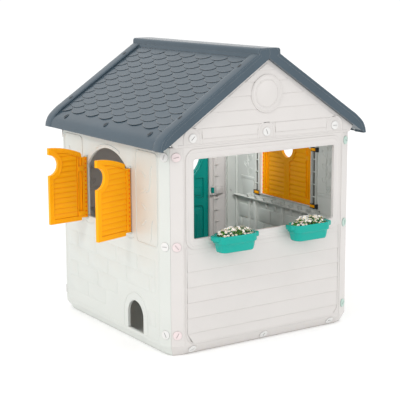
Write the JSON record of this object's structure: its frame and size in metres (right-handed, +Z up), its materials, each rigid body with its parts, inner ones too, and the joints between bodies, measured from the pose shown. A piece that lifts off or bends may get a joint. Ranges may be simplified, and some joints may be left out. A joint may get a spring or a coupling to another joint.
{
  "type": "children's playhouse",
  "caption": "Moulded plastic playhouse with a pitched tiled roof, open serving window, swinging shutters, a door with a round window and lift-off flower boxes.",
  "frame": {"origin": "centre of the house's base, on the ground", "axes": "+Z up, the serving window faces -Y, the left arched window faces -X and the door is in the +Y wall"},
  "size_m": [1.2616, 1.135, 1.2995],
  "materials": {
    "wall": "satin off-white, moulded in colour",
    "floor": "satin pale grey",
    "roof": "satin slate grey-blue",
    "shutter": "semi-gloss orange",
    "door": "semi-gloss teal",
    "window_box": "glossy teal",
    "screw": "satin, translucent-looking caps",
    "flowers": "leaf green with white blossom"
  },
  "bodies": {
    "house": {"floor_panel": "floor", "front_wall": "wall", "right_wall": "wall", "rear_wall": "wall", "left_wall": "wall", "front_gable": "wall", "rear_gable": "wall", "left_roof": "roof", "right_roof": "roof", "corner_screw_front_left_low": "screw", "corner_screw_front_left_middle": "screw", "corner_screw_front_left_high": "screw", "corner_screw_front_right_low": "screw", "corner_screw_front_right_middle": "screw", "corner_screw_front_right_high": "screw", "corner_screw_right_left_low": "screw", "corner_screw_right_left_middle": "screw", "corner_screw_right_left_high": "screw", "corner_screw_right_right_low": "screw", "corner_screw_right_right_middle": "screw", "corner_screw_right_right_high": "screw", "corner_screw_rear_left_low": "screw", "corner_screw_rear_left_middle": "screw", "corner_screw_rear_left_high": "screw", "corner_screw_rear_right_low": "screw", "corner_screw_rear_right_middle": "screw", "corner_screw_rear_right_high": "screw", "corner_screw_left_left_low": "screw", "corner_screw_left_left_middle": "screw", "corner_screw_left_left_high": "screw", "corner_screw_left_right_low": "screw", "corner_screw_left_right_middle": "screw", "corner_screw_left_right_high": "screw", "foot_screw_front_left": "screw", "foot_screw_front_centre": "screw", "foot_screw_front_right": "screw", "foot_screw_rear_left": "screw", "foot_screw_rear_centre": "screw", "foot_screw_rear_right": "screw", "gable_screw_front_left": "screw", "gable_screw_front_centre": "screw", "gable_screw_front_right": "screw", "gable_screw_rear_left": "screw", "gable_screw_rear_centre": "screw", "gable_screw_rear_right": "screw"},
    "left_shutter_front": {"left_shutter_front": "shutter"},
    "left_shutter_rear": {"left_shutter_rear": "shutter"},
    "right_shutter_rear": {"right_shutter_rear": "shutter"},
    "right_shutter_front": {"right_shutter_front": "shutter"},
    "door": {"door": "door"},
    "left_window_box": {"left_window_box": "window_box"},
    "right_window_box": {"right_window_box": "window_box"},
    "left_flowers": {"left_flowers": "flowers"},
    "right_flowers": {"right_flowers": "flowers"}
  },
  "joints": [
    {"name": "left_shutter_front_hinge", "type": "hinge", "parent": "house", "child": "left_shutter_front", "pos_m": [-0.5125, -0.2, 0.643], "axis": [0, 0, 1], "range_deg": [-107, 58]},
    {"name": "left_shutter_rear_hinge", "type": "hinge", "parent": "house", "child": "left_shutter_rear", "pos_m": [-0.5125, 0.2, 0.643], "axis": [0, 0, -1], "range_deg": [-84, 81]},
    {"name": "right_shutter_rear_hinge", "type": "hinge", "parent": "house", "child": "right_shutter_rear", "pos_m": [0.5125, 0.2, 0.643], "axis": [0, 0, 1], "range_deg": [0, 165]},
    {"name": "right_shutter_front_hinge", "type": "hinge", "parent": "house", "child": "right_shutter_front", "pos_m": [0.5125, -0.2, 0.643], "axis": [0, 0, -1], "range_deg": [0, 165]},
    {"name": "door_hinge", "type": "hinge", "parent": "house", "child": "door", "pos_m": [0.402, 0.502, 0.46], "axis": [0, 0, -1], "range_deg": [0, 112]},
    {"name": "left_window_box_lift", "type": "slide", "parent": "house", "child": "left_window_box", "axis": [0, 0, 1], "range_m": [0, 0.1]},
    {"name": "right_window_box_lift", "type": "slide", "parent": "house", "child": "right_window_box", "axis": [0, 0, 1], "range_m": [0, 0.1]},
    {"name": "left_flowers_lift", "type": "slide", "parent": "left_window_box", "child": "left_flowers", "axis": [0, 0, 1], "range_m": [0, 0.1]},
    {"name": "right_flowers_lift", "type": "slide", "parent": "right_window_box", "child": "right_flowers", "axis": [0, 0, 1], "range_m": [0, 0.1]}
  ]
}
